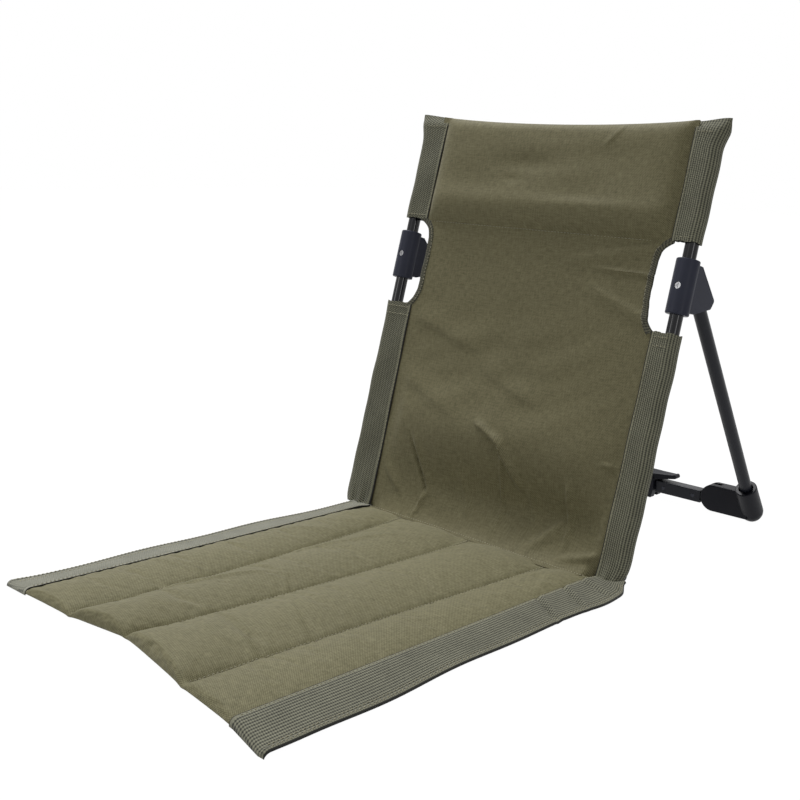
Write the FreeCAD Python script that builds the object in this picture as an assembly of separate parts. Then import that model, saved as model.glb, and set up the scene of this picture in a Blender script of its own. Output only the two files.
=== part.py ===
import FreeCAD, Part
import math
import os
from FreeCAD import Vector

# Folding camp chair without legs. A padded seat lies on the ground, a fabric backrest hangs on two
# reclined tubes, and two rear struts joined by a crossbar hold the tubes up.
# Frame: the sitter looks along -Y, +X is the sitter's left, the ground is Z = 0.

# ---- driving dimensions, millimetres and degrees ----
seat_width = 400.0
seat_length = 450.0
back_length = 466.0
recline = 15.7
tube_inset = 15.0
foot_reach = 286.0

tube_radius = 7.0
tube_wall = 1.2
webbing_width = 38.0
webbing_thickness = 2.0
fabric_thickness = 1.0
soft_gap = 0.3
sewn_gap = 0.3

# backrest panel
seam_height = 343.0
cutout_low = 252.0
cutout_inset = 6.0
cutout_blend = 30.0
cutout_bend_rise = 14.0
cutout_bend_share = 0.1925
cutout_middle_rise = 12.0
binding_width = 7.5
binding_thickness = 2.2
head_thickness = 5.0
panel_low_end = 0.5
loop_low_end = 4.0

# seat pad
channel_count = 4
pad_height = 14.0
seam_thickness = 2.2
foam_margin = 3.0
foam_end_margin = 8.0
seat_hinge_back = 5.0
seat_hinge_height = 8.0

# hinge block on each upright
block_centre = 300.0
block_length = 56.0
block_wall = 5.0
block_rim_round = 1.5
cheek_wall = 4.0
wing_tip_depth = 50.0
wing_tip_height = -3.0
wing_heel_depth = 45.5
wing_heel_height = -12.5
wing_drop = 24.0
wing_corner = 3.0
pivot_depth = 21.0
pivot_height = 4.4
block_screw_depth = 10.4
screw_head_radius = 3.6
screw_head_height = 2.0
screw_shank_radius = 1.9
screw_length = 15.0
screw_slot_half = 0.45
screw_slot_reach = 2.2
screw_slot_depth = 1.1

# pins and running clearances
pin_radius = 2.5
pin_clearance = 0.06
slide_clearance = 0.3
press_gap = 0.03
slot_end_room = 1.0
cut_over = 1.0
pin_skin = 2.0
pin_recess = 0.5

# strut and foot
strut_stub = 2.5
foot_wall = 6.0
foot_rim_wall = 5.4
foot_rim_round = 1.2
foot_length = 38.0
mouth_room = 1.4
mouth_depth = 5.0
strut_seat = 4.0
arm_pin_inset = 45.0
arm_pin_rise = 6.5
arm_centre = 20.0
arm_height_radius = 16.0
arm_depth = 19.0
arm_round = 1.5
bar_height = 17.5

# crossbar
bar_size = 15.0
bar_wall = 1.2
bar_corner = 1.2
tongue_thickness = 6.0
tongue_height = 12.0
tongue_grip = 22.0
bar_end_gap = 1.2
eye_radius = 5.5
rivet_radius = 1.6
rivet_inset = 10.0
rivet_head_radius = 2.6
rivet_head_height = 0.7

# centre bracket of the crossbar
bracket_pin_x = 20.0
bracket_radius = 41.5
bracket_depth = 24.0
bracket_low = 3.0
bracket_high = 33.0
tab_reach = 27.0
tab_rise = 5.5
tab_tip_thickness = 3.5
tab_tip_width = 9.0
tab_root_inset = 8.0
tab_taper_inset = 12.0
tab_crown = 0.6
tab_nose_drop = 0.9
tab_nose_share = 0.35

# end caps of the uprights
cap_lip = 0.6
cap_stem = 16.0
cap_collar = 2.0
top_cover = 2.0

# ---- places worked out from the dimensions ----
half_width = seat_width / 2
half_spacing = half_width - tube_inset
webbing_inner_x = half_width - webbing_width
cutout_edge_x = webbing_inner_x - cutout_inset
cap_radius = tube_radius + cap_lip
panel_front = cap_radius + 2 * soft_gap
block_radius = tube_radius + block_wall
wing_half_width = tube_radius + cheek_wall
foot_radius = tube_radius + foot_wall
foot_rim_radius = tube_radius + foot_rim_wall
mouth_radius = tube_radius + mouth_room
tilt = math.radians(recline)
bore_radius = tube_radius - tube_wall
pivot_up = block_centre + pivot_height
pivot_y = pivot_up * math.sin(tilt) + pivot_depth * math.cos(tilt)
pivot_z = pivot_up * math.cos(tilt) - pivot_depth * math.sin(tilt)
strut_lean = math.atan2(foot_reach - pivot_y, pivot_z - foot_radius)
strut_length = math.hypot(foot_reach - pivot_y, pivot_z - foot_radius)
stand_angle = math.degrees(strut_lean) + recline
bar_y = foot_reach - (bar_height - foot_radius) * math.tan(strut_lean)
arm_pin_x = half_spacing - arm_pin_inset
cap_centre = cap_radius / math.cos(tilt)
tube_low = cap_centre + cap_collar
slot_width = tongue_thickness + 2 * slide_clearance
slot_end = eye_radius + 2 * slide_clearance + slot_end_room
arm_pin_z = bar_height + arm_pin_rise
sleeve_front = panel_front + webbing_thickness
seat_rear = sleeve_front * math.cos(tilt) - panel_low_end * math.sin(tilt) + soft_gap
seat_hinge_y = -seat_rear - seat_hinge_back
top_cap_centre = back_length - cap_radius - top_cover


def box(x0, x1, y0, y1, z0, z1):
    return Part.makeBox(x1 - x0, y1 - y0, z1 - z0, Vector(x0, y0, z0))


def rod(start, end, radius):
    """Round bar from one point to another."""
    run = end - start
    return Part.makeCylinder(radius, run.Length, start, run)


def prism(points, push):
    """Closed outline swept along a vector."""
    wire = Part.makePolygon(points + [points[0]])
    return Part.Face(wire).extrude(push)


def reclined(shape):
    """Carries a shape from the upright's own frame, with Z along the tube and Y to the rear."""
    turned = shape.copy()
    turned.rotate(Vector(0, 0, 0), Vector(1, 0, 0), -recline)
    return turned


def leaning(shape):
    """Carries a shape from the strut's own frame, with Z up the strut from the foot."""
    turned = shape.copy()
    turned.rotate(Vector(0, 0, 0), Vector(1, 0, 0), math.degrees(strut_lean))
    turned.translate(Vector(0, foot_reach, foot_radius))
    return turned


def is_circle(edge):
    return isinstance(edge.Curve, Part.Circle)


def moved_x(shape, x):
    shape = shape.copy()
    shape.translate(Vector(x, 0, 0))
    return shape


def mirrored(shape):
    return shape.mirror(Vector(0, 0, 0), Vector(1, 0, 0))


# ---- backrest uprights ----
def upright_tube():
    top = Vector(0, 0, top_cap_centre - cap_collar)
    low = Vector(0, 0, tube_low)
    return reclined(rod(low, top, tube_radius).cut(rod(low, top, bore_radius)))


def end_cap(centre, outward):
    """Domed plug whose stem fills the tube's bore."""
    middle = Vector(0, 0, centre)
    collar_end = Vector(0, 0, centre - outward * cap_collar)
    stem_end = Vector(0, 0, centre - outward * (cap_collar + cap_stem))
    dome = Part.makeSphere(cap_radius, middle)
    half = rod(middle, Vector(0, 0, centre + outward * 2 * cap_radius), 2 * cap_radius)
    cap = dome.common(half)
    cap = cap.fuse(rod(middle, collar_end, cap_radius))
    cap = cap.fuse(rod(collar_end, stem_end, bore_radius - press_gap))
    return reclined(cap.removeSplitter())


# ---- hinge block ----
def block_outline():
    """Wing of the block in its side plane, as depth behind the tube and height along it."""
    top = block_centre + wing_drop
    low = block_centre - wing_drop
    return [
        Vector(-wing_half_width, 0, low),
        Vector(-wing_half_width, 0, top),
        Vector(-wing_half_width, block_radius, top),
        Vector(-wing_half_width, wing_tip_depth, block_centre + wing_tip_height),
        Vector(-wing_half_width, wing_heel_depth, block_centre + wing_heel_height),
        Vector(-wing_half_width, block_radius, low),
    ]


def strut_slot():
    """Room between the cheeks for the strut, from open to folded along the tube."""
    half = tube_radius + slide_clearance
    end_radius = math.hypot(tube_radius, strut_stub) + slide_clearance
    fold = math.radians(stand_angle)
    along = Vector(0, math.sin(fold), -math.cos(fold))
    across = Vector(0, math.cos(fold), math.sin(fold))
    pivot = Vector(-half, pivot_depth, pivot_up)
    reach = 2 * wing_tip_depth
    edge = pivot + across * half
    front = pivot - Vector(0, half, 0)
    points = [pivot, edge, edge + along * reach, front - Vector(0, 0, reach), front]
    sweep = prism(points, Vector(2 * half, 0, 0))
    return sweep.fuse(Part.makeCylinder(end_radius, 2 * half, pivot, Vector(1, 0, 0)))


def hinge_block(side):
    low = Vector(0, 0, block_centre - block_length / 2)
    top = Vector(0, 0, block_centre + block_length / 2)
    barrel = rod(low, top, block_radius)
    rims = [e for e in barrel.Edges if is_circle(e)]
    barrel = barrel.makeFillet(block_rim_round, rims)
    wing = prism(block_outline(), Vector(2 * wing_half_width, 0, 0))
    rear = [e for e in wing.Edges if is_rear_corner(e)]
    wing = wing.makeFillet(wing_corner, rear)
    block = barrel.fuse(wing)
    block = block.cut(rod(low, top, tube_radius + press_gap))
    block = block.cut(strut_slot())
    block = block.cut(pivot_pin_local(side, 0.0))
    block = block.cut(screw_local(press_gap))
    return reclined(block.removeSplitter())


def is_rear_corner(edge):
    box_ = edge.BoundBox
    return box_.XLength > wing_half_width and box_.YMin > block_radius + cut_over


def pivot_pin_local(side, extra):
    """Pin along X, flush inboard and blind outboard."""
    inner = Vector(-side * (wing_half_width - pin_recess), pivot_depth, pivot_up)
    outer = Vector(side * (wing_half_width - pin_skin), pivot_depth, pivot_up)
    return rod(inner, outer, pin_radius + extra)


def screw_local(extra):
    """Countersunk screw from the front of the block into the tube."""
    face = -block_screw_depth
    start = Vector(0, face, block_centre)
    head = Part.makeCone(
        screw_head_radius + extra, screw_shank_radius + extra, screw_head_height,
        start, Vector(0, 1, 0))
    shank = rod(start, start + Vector(0, screw_length, 0), screw_shank_radius + extra)
    well = rod(start - Vector(0, block_radius, 0), start, screw_head_radius + extra)
    return head.fuse(shank) if extra == 0.0 else head.fuse([shank, well])


def block_screw():
    screw = screw_local(0.0)
    face = -block_screw_depth
    for a, b in ((screw_slot_half, screw_slot_reach), (screw_slot_reach, screw_slot_half)):
        arm = box(-a, a, face - cut_over, face + screw_slot_depth, block_centre - b, block_centre + b)
        screw = screw.cut(arm)
    return reclined(screw.removeSplitter())


def bored_tube(side):
    """Upright with the screw's hole through its front wall."""
    hole = reclined(rod(
        Vector(0, -block_radius, block_centre),
        Vector(0, screw_length - block_screw_depth + cut_over, block_centre),
        screw_shank_radius + press_gap))
    return moved_x(upright_tube().cut(hole), side * half_spacing)


# ---- strut, its plug and the foot ----
def strut_pin_hole():
    centre = Vector(-2 * tube_radius, 0, strut_length)
    return Part.makeCylinder(pin_radius + pin_clearance, 4 * tube_radius, centre, Vector(1, 0, 0))


def strut_tube():
    low = Vector(0, 0, strut_seat)
    top = Vector(0, 0, strut_length + strut_stub)
    return leaning(rod(low, top, tube_radius).cut(rod(low, top, bore_radius)).cut(strut_pin_hole()))


def strut_plug():
    low = Vector(0, 0, strut_length - cap_stem)
    top = Vector(0, 0, strut_length + strut_stub)
    return leaning(rod(low, top, bore_radius - press_gap).cut(strut_pin_hole()))


def is_arm_rim(edge):
    """Edges of the arm's front and rear faces, apart from those inside the socket."""
    across = edge.BoundBox
    in_face = across.YLength < cut_over
    return in_face and (across.XMax < half_spacing - cut_over or across.XLength > 2 * foot_radius)


def foot(side):
    """Socket moulded in one with the arm that carries the crossbar."""
    shell = Part.makeCone(foot_radius, foot_rim_radius, foot_length)
    rim = [e for e in shell.Edges if is_circle(e) and e.BoundBox.ZMin > cut_over]
    shell = shell.makeFillet(foot_rim_round, rim)
    socket = leaning(shell.fuse(Part.makeSphere(foot_radius)))
    socket = moved_x(socket, side * half_spacing)
    arm = box(arm_pin_x, half_spacing, bar_y - arm_depth / 2, bar_y + arm_depth / 2,
              arm_centre - arm_height_radius, arm_centre + arm_height_radius)
    ear = rod(Vector(arm_pin_x, bar_y - arm_depth / 2, arm_centre),
              Vector(arm_pin_x, bar_y + arm_depth / 2, arm_centre), arm_height_radius)
    arm = arm.fuse(ear).removeSplitter()
    arm = arm.makeFillet(arm_round, [e for e in arm.Edges if is_arm_rim(e)])
    if side < 0:
        arm = mirrored(arm)
    body = socket.fuse(arm)
    above = Vector(0, 0, 2 * foot_length)
    deep = rod(Vector(0, 0, strut_seat), above, tube_radius + press_gap)
    mouth = rod(Vector(0, 0, foot_length - mouth_depth), above, mouth_radius)
    body = body.cut(moved_x(leaning(deep.fuse(mouth)), side * half_spacing))
    inner = arm_pin_x - 2 * arm_height_radius
    slot = box(inner, arm_pin_x + slot_end, bar_y - slot_width / 2, bar_y + slot_width / 2,
               bar_height - tongue_height / 2 - slide_clearance, 4 * bar_height)
    body = body.cut(slot if side > 0 else mirrored(slot))
    return body.cut(foot_pin(side)).removeSplitter()


def cross_pin(x, z, depth):
    """Pin along Y, blind at the front face and flush at the rear."""
    front = Vector(x, bar_y - depth / 2 + pin_skin, z)
    rear = Vector(x, bar_y + depth / 2, z)
    return rod(front, rear, pin_radius)


def foot_pin(side):
    return cross_pin(side * arm_pin_x, arm_pin_z, arm_depth)


def bracket_pin(side):
    return cross_pin(side * bracket_pin_x, bar_height, bracket_depth)


# ---- crossbar halves, drawn on the sitter's left and mirrored ----
def bar_span():
    outer = arm_pin_x - arm_height_radius - bar_end_gap
    inner = bracket_pin_x + bracket_radius + bar_end_gap
    return inner, outer


def bar_rivet_places():
    inner, outer = bar_span()
    return [inner + rivet_inset, outer - rivet_inset]


def bar_rivets(extra):
    rivets = []
    for x in bar_rivet_places():
        half = bar_size / 2
        shank = rod(Vector(x, bar_y - half - extra, bar_height),
                    Vector(x, bar_y + half + extra, bar_height), rivet_radius + extra)
        rivets.append(shank)
    return rivets


def bar_tube():
    inner, outer = bar_span()
    half = bar_size / 2
    bore = half - bar_wall
    outside = box(inner, outer, bar_y - half, bar_y + half, bar_height - half, bar_height + half)
    corners = [e for e in outside.Edges if e.BoundBox.XLength > cut_over]
    outside = outside.makeFillet(bar_corner, corners)
    inside = box(inner - cut_over, outer + cut_over, bar_y - bore, bar_y + bore,
                 bar_height - bore, bar_height + bore)
    return outside.cut(inside).cut(bar_rivets(press_gap))


def tongue(pin_x, pin_z, bar_end, into):
    """Flat tongue with an eye round the pin, and a square shank pressed into the bar."""
    half = tongue_thickness / 2
    grip = bar_size / 2 - bar_wall - press_gap
    low_x, high_x = sorted((pin_x, bar_end))
    flat = box(low_x, high_x, bar_y - half, bar_y + half,
               bar_height - tongue_height / 2, bar_height + tongue_height / 2)
    eye = rod(Vector(pin_x, bar_y - half, pin_z), Vector(pin_x, bar_y + half, pin_z), eye_radius)
    low_x, high_x = sorted((bar_end, bar_end + into * tongue_grip))
    shank = box(low_x, high_x, bar_y - grip, bar_y + grip, bar_height - grip, bar_height + grip)
    piece = flat.fuse([eye, shank])
    hole = rod(Vector(pin_x, bar_y - bar_size, pin_z), Vector(pin_x, bar_y + bar_size, pin_z),
               pin_radius + pin_clearance)
    return piece.cut(hole).cut(bar_rivets(press_gap)).removeSplitter()


def rivet_set():
    """Both rivets of one crossbar half, with domed heads at front and rear."""
    solids = []
    half = bar_size / 2
    for shank, x in zip(bar_rivets(0.0), bar_rivet_places()):
        for face in (-1, 1):
            start = Vector(x, bar_y + face * half, bar_height)
            head = Part.makeCone(rivet_head_radius, rivet_radius, rivet_head_height,
                                 start, Vector(0, face, 0))
            shank = shank.fuse(head)
        solids.append(shank.removeSplitter())
    return Part.makeCompound(solids)


# ---- centre bracket ----
def tab_profile():
    """Finger tab over the bar: it rises and thins outward to a rounded tip."""
    root = bracket_pin_x + bracket_radius - tab_root_inset
    tip = bracket_pin_x + bracket_radius + tab_reach
    under = bar_height + bar_size / 2 + slide_clearance
    tip_low = under + tab_rise
    tip_high = tip_low + tab_tip_thickness
    y = bar_y - bracket_depth / 2
    nose = (tip_high - tip_low) / 2
    crown = Vector(tip - 3 * nose, y, tip_high + tab_crown)
    beak = Vector(tip - tab_nose_share * nose, y, tip_high - tab_nose_drop)
    lines = [
        Part.LineSegment(Vector(tip - nose, y, tip_low), Vector(root, y, under)),
        Part.LineSegment(Vector(root, y, under), Vector(root, y, bracket_high)),
        Part.LineSegment(Vector(root, y, bracket_high), crown),
        Part.Arc(crown, beak, Vector(tip - nose, y, tip_low)),
    ]
    wire = Part.Wire([line.toShape() for line in lines])
    return Part.Face(wire).extrude(Vector(0, bracket_depth, 0))


def tab_plan():
    root = bracket_pin_x + bracket_radius - tab_taper_inset
    tip = bracket_pin_x + bracket_radius + tab_reach + cut_over
    wide = bracket_depth / 2
    narrow = tab_tip_width / 2
    return prism([
        Vector(root, bar_y - wide, 0), Vector(tip, bar_y - narrow, 0),
        Vector(tip, bar_y + narrow, 0), Vector(root, bar_y + wide, 0)], Vector(0, 0, 4 * bar_height))


def centre_bracket():
    front = bar_y - bracket_depth / 2
    rear = bar_y + bracket_depth / 2
    reach = bracket_pin_x + bracket_radius
    half = box(0, reach, front, rear, bracket_low, bracket_high)
    disc = rod(Vector(bracket_pin_x, front, bar_height), Vector(bracket_pin_x, rear, bar_height),
               bracket_radius)
    inner = box(0, bracket_pin_x, front, rear, bracket_low, bracket_high)
    half = half.common(disc.fuse(inner)).removeSplitter()
    half = half.fuse(tab_profile().common(tab_plan()))
    slot = box(bracket_pin_x - slot_end, 2 * reach, bar_y - slot_width / 2,
               bar_y + slot_width / 2, -bar_height, bar_height + tongue_height / 2 + slide_clearance)
    half = half.cut(slot)
    half = half.cut(bracket_pin(1))
    return half.fuse(mirrored(half)).removeSplitter()


# ---- webbing sleeves, in the upright's own frame ----
def sleeve(side, low, loop_low, high):
    """Webbing folded round the tube, flat in front, with the tube in its loop."""
    x0, x1 = sorted((side * webbing_inner_x, side * half_width))
    flat = box(x0, x1, -sleeve_front, -panel_front, low, high)
    centre = side * half_spacing
    loop = rod(Vector(centre, 0, loop_low), Vector(centre, 0, high), sleeve_front)
    inside = rod(Vector(centre, 0, low - cut_over), Vector(centre, 0, high + cut_over), cap_radius + soft_gap)
    return reclined(flat.fuse(loop).cut(inside).removeSplitter())


# ---- backrest fabric, in the upright's own frame ----
def cutout_curve(offset, y):
    """Side cut-out of the backrest as an arc flanked by two blend arcs, for x > 0."""
    deep = cutout_edge_x - offset
    edge = webbing_inner_x - sewn_gap
    low = cutout_low - offset
    high = seam_height - soft_gap
    bend = deep + (edge - deep) * cutout_bend_share
    straight_low = Vector(deep, y, low + cutout_blend)
    straight_high = Vector(deep, y, (low + high) / 2 + cutout_middle_rise)
    lower = Part.Arc(Vector(edge, y, low), Vector(bend, y, low + cutout_bend_rise), straight_low)
    straight = Part.LineSegment(straight_low, straight_high)
    upper = Part.Arc(straight_high, Vector(bend, y, high - cutout_bend_rise), Vector(edge, y, high))
    return [lower, straight, upper]


def back_panel():
    """Sheet between the sleeves, cut back at both sides beside the hinge blocks."""
    y = -panel_front - webbing_thickness / 2 - fabric_thickness / 2
    edge = webbing_inner_x - sewn_gap
    low = panel_low_end
    sheet = box(-edge, edge, y, y + fabric_thickness, low, seam_height - soft_gap)
    for side in (1, -1):
        curve = cutout_curve(binding_width, y - cut_over)
        start = curve[0].StartPoint
        top = Vector(half_width, y - cut_over, seam_height)
        low_corner = Vector(half_width, y - cut_over, start.z)
        far = [Part.LineSegment(curve[-1].EndPoint, top), Part.LineSegment(top, low_corner),
               Part.LineSegment(low_corner, start)]
        wire = Part.Wire([c.toShape() for c in curve + far])
        cut = Part.Face(wire).extrude(Vector(0, fabric_thickness + 2 * cut_over, 0))
        sheet = sheet.cut(cut if side > 0 else mirrored(cut))
    return reclined(sheet)


def cutout_binding(side):
    """Tape folded over the edge of the cut-out."""
    y = -panel_front - webbing_thickness / 2 - binding_thickness / 2
    outer = cutout_curve(binding_width - sewn_gap, y)
    inner = cutout_curve(0.0, y)
    low_end = Part.LineSegment(inner[0].StartPoint, outer[0].StartPoint)
    edges = [c.toShape() for c in outer + [low_end] + inner]
    wire = Part.Wire(Part.__sortEdges__(edges))
    tape = Part.Face(wire).extrude(Vector(0, binding_thickness, 0))
    return reclined(tape if side > 0 else mirrored(tape))


def head_panel():
    """Front layer of the head pocket, from the seam to the top edge."""
    edge = webbing_inner_x - sewn_gap
    rear = -panel_front
    return reclined(box(-edge, edge, rear - head_thickness, rear, seam_height, back_length))


def head_pocket_rear():
    """Rear layer of the head pocket."""
    edge = webbing_inner_x - sewn_gap
    front = -panel_front + sewn_gap
    return reclined(box(-edge, edge, front, front + fabric_thickness, seam_height, back_length))


# ---- seat pad ----
def channel_edges():
    edge = webbing_inner_x - sewn_gap
    step = 2 * edge / channel_count
    return [(-edge + i * step, -edge + (i + 1) * step) for i in range(channel_count)]


def hump(x0, x1, low, high, y0, y1):
    """Rounded bar with a flat underside."""
    top = Part.Arc(Vector(x0, y0, low), Vector((x0 + x1) / 2, y0, high), Vector(x1, y0, low))
    base = Part.LineSegment(Vector(x1, y0, low), Vector(x0, y0, low))
    wire = Part.Wire([top.toShape(), base.toShape()])
    return Part.Face(wire).extrude(Vector(0, y1 - y0, 0))


def foam_strip(x0, x1):
    y0 = -seat_length + foam_end_margin
    y1 = -seat_rear - foam_end_margin
    return hump(x0 + foam_margin, x1 - foam_margin, fabric_thickness, pad_height - fabric_thickness, y0, y1)


def seat_base():
    edge = webbing_inner_x - sewn_gap
    return box(-edge, edge, -seat_length, -seat_rear, 0, fabric_thickness)


def seat_cover():
    edge = webbing_inner_x - sewn_gap
    cover = box(-edge, edge, -seat_length, -seat_rear, fabric_thickness, seam_thickness)
    for x0, x1 in channel_edges():
        cover = cover.fuse(hump(x0, x1, seam_thickness, pad_height, -seat_length, -seat_rear))
    for x0, x1 in channel_edges():
        cover = cover.cut(foam_strip(x0, x1))
    return cover.removeSplitter()


def seat_webbing(side):
    x0, x1 = sorted((side * webbing_inner_x, side * half_width))
    return box(x0, x1, -seat_length, -seat_rear, 0, webbing_thickness + fabric_thickness)


# ---- the whole chair ----
def chair():
    """Every node by name, with the hinge line of the seat on the X axis."""
    nodes = {}
    inner, outer = bar_span()
    for side, name in ((1, "left"), (-1, "right")):
        x = side * half_spacing
        nodes["upright_" + name] = bored_tube(side)
        nodes["upright_foot_cap_" + name] = moved_x(end_cap(cap_centre, -1), x)
        nodes["upright_top_cap_" + name] = moved_x(end_cap(top_cap_centre, 1), x)
        nodes["hinge_block_" + name] = moved_x(hinge_block(side), x)
        nodes["block_screw_" + name] = moved_x(block_screw(), x)
        nodes["strut_pin_" + name] = moved_x(reclined(pivot_pin_local(side, 0.0)), x)
        nodes["strut_" + name] = moved_x(strut_tube(), x)
        nodes["strut_plug_" + name] = moved_x(strut_plug(), x)
        nodes["foot_" + name] = foot(side)
        nodes["foot_pin_" + name] = foot_pin(side)
        nodes["bracket_pin_" + name] = bracket_pin(side)
        half_bar = {
            "crossbar_tube_": bar_tube(),
            "crossbar_outer_tongue_": tongue(arm_pin_x, arm_pin_z, outer, -1),
            "crossbar_inner_tongue_": tongue(bracket_pin_x, bar_height, inner, 1),
            "crossbar_rivets_": rivet_set(),
        }
        for node, shape in half_bar.items():
            nodes[node + name] = shape if side > 0 else mirrored(shape)
        nodes["lower_sleeve_" + name] = sleeve(side, panel_low_end, loop_low_end, cutout_low)
        nodes["upper_sleeve_" + name] = sleeve(side, seam_height, seam_height, back_length)
        nodes["cutout_binding_" + name] = cutout_binding(side)
        nodes["seat_webbing_" + name] = seat_webbing(side)
    nodes["centre_bracket"] = centre_bracket()
    nodes["back_panel"] = back_panel()
    nodes["head_panel"] = head_panel()
    nodes["head_pocket_rear"] = head_pocket_rear()
    nodes["seat_base"] = seat_base()
    nodes["seat_cover"] = seat_cover()
    for number, (x0, x1) in enumerate(channel_edges(), 1):
        nodes["seat_foam_%d" % number] = foam_strip(x0, x1)
    return nodes


os.makedirs("parts", exist_ok=True)
model = chair()
span = FreeCAD.BoundBox()
for shape in model.values():
    span.add(shape.BoundBox)
centre_y = (span.YMin + span.YMax) / 2
for node, shape in model.items():
    shape.translate(Vector(0, -centre_y, 0))
    shape.exportStep("parts/%s.step" % node)
    if not shape.isValid():
        print("not valid:", node)
    print("%-28s solids %d volume %.1f" % (node, len(shape.Solids), shape.Volume))

print("box", span)
print("hinge line y %.4f" % -centre_y)
print("strut pivot y %.4f z %.4f" % (pivot_y - centre_y, pivot_z))
print("cross pins y %.4f z %.4f and %.4f" % (bar_y - centre_y, arm_pin_z, bar_height))
print("seat hinge y %.4f z %.4f" % (seat_hinge_y - centre_y, seat_hinge_height))
print("strut lean %.4f stand angle %.4f" % (math.degrees(strut_lean), stand_angle))
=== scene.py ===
import math

import bpy
import numpy as np
from mathutils import Matrix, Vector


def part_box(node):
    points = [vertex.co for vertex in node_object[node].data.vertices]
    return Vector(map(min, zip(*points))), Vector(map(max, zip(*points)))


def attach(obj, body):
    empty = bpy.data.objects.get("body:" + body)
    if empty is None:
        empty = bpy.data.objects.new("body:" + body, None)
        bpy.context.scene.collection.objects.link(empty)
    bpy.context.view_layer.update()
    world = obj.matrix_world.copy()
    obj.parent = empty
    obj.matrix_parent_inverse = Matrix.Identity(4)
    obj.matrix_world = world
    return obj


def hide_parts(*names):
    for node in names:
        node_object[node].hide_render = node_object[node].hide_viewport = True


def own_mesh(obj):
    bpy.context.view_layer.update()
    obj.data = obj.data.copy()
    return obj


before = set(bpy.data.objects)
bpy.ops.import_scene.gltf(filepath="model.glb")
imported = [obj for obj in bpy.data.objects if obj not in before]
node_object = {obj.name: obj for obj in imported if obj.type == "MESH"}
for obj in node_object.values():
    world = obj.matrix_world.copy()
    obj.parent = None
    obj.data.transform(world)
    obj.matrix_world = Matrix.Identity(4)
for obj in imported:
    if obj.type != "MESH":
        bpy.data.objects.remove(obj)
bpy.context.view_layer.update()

# ---- standpoint ----
# The chair is seen from the front left of the sitter, from a little above the headrest, with a
# moderate tele lens and the camera held a touch off level.
YAW, PITCH, ROLL = (math.radians(a) for a in (42.02, 12.78, 1.79))
STANDPOINT = (0.7557, -0.8719, 0.4206)
forward = np.array([-math.sin(YAW) * math.cos(PITCH), math.cos(YAW) * math.cos(PITCH), -math.sin(PITCH)])
level_right = np.array([math.cos(YAW), math.sin(YAW), 0.0])
level_up = np.cross(level_right, forward)
right = math.cos(ROLL) * level_right + math.sin(ROLL) * level_up
up = math.cos(ROLL) * level_up - math.sin(ROLL) * level_right
lens = bpy.data.cameras.new("studio_camera")
lens.lens = 52.23
lens.sensor_width = 36.0
lens.shift_x = -0.0139
lens.shift_y = 0.0068
lens.clip_start, lens.clip_end = 0.05, 40.0
camera = bpy.data.objects.new("studio_camera", lens)
bpy.context.scene.collection.objects.link(camera)
turn = np.eye(4)
turn[:3, 0], turn[:3, 1], turn[:3, 2], turn[:3, 3] = right, up, -forward, STANDPOINT
camera.matrix_world = Matrix(turn.tolist())
bpy.context.scene.camera = camera
bpy.context.scene.view_settings.view_transform = "Standard"

# ---- studio ----
# A white floor sweep that looks white to the eye but still takes the chair's shadow, a large soft
# box overhead behind the chair, a weak one in front, and two upright strips that draw lines down
# the tubes.
FLOOR_SIZE = 14.0
FLOOR_GAP = 0.0004
FLOOR_GLOW = 0.90


def linear(hue):
    """Linear colour of an sRGB hex string."""
    parts = [int(hue[i:i + 2], 16) / 255 for i in (0, 2, 4)]
    return tuple(p / 12.92 if p <= 0.04045 else ((p + 0.055) / 1.055) ** 2.4 for p in parts) + (1.0,)


def shaded(hue, share):
    """Linear colour of an sRGB hex string, made lighter or darker by a share."""
    return tuple(share * part for part in linear(hue)[:3]) + (1,)


def add(tree, kind, settings=None, **sockets):
    """Adds a node; a socket takes a value, or another node's output, by its name or number."""
    node = tree.nodes.new(kind)
    for name, value in (settings or {}).items():
        setattr(node, name, value)
    for key, value in sockets.items():
        socket = node.inputs[int(key[1:]) if key[0] == "_" and key[1:].isdigit() else key.replace("_", " ")]
        if isinstance(value, bpy.types.NodeSocket):
            tree.links.new(value, socket)
        else:
            socket.default_value = value
    return node


def new_material(name):
    material = bpy.data.materials.new(name)
    material.use_nodes = True
    material.node_tree.nodes.clear()
    return material, material.node_tree


def seen_rays(tree):
    """1 where a ray goes to the eye straight, off a gloss or through something clear, else 0."""
    path = add(tree, "ShaderNodeLightPath").outputs
    seen = add(tree, "ShaderNodeMath", {"operation": "MAXIMUM"}, _0=path["Is Camera Ray"],
               _1=path["Is Glossy Ray"])
    return add(tree, "ShaderNodeMath", {"operation": "MAXIMUM"}, _0=seen.outputs[0],
               _1=path["Is Transmission Ray"]).outputs[0]


floor_paper, tree = new_material("white_paper_floor")
share = add(tree, "ShaderNodeMath", {"operation": "MULTIPLY"}, _0=seen_rays(tree), _1=FLOOR_GLOW)
paper = add(tree, "ShaderNodeBsdfDiffuse", Color=(0.55, 0.55, 0.55, 1))
glow = add(tree, "ShaderNodeEmission", Color=(1, 1, 1, 1), Strength=1.10)
both = add(tree, "ShaderNodeMixShader", _0=share.outputs[0], _1=paper.outputs[0], _2=glow.outputs[0])
add(tree, "ShaderNodeOutputMaterial", Surface=both.outputs[0])

floor_mesh = bpy.data.meshes.new("studio_floor")
half = FLOOR_SIZE / 2
corners = ((-half, -half), (half, -half), (half, half), (-half, half))
floor_mesh.from_pydata([(x, y, -FLOOR_GAP) for x, y in corners], [], [(0, 1, 2, 3)])
studio_floor = bpy.data.objects.new("studio_floor", floor_mesh)
bpy.context.scene.collection.objects.link(studio_floor)
floor_mesh.materials.append(floor_paper)

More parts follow.
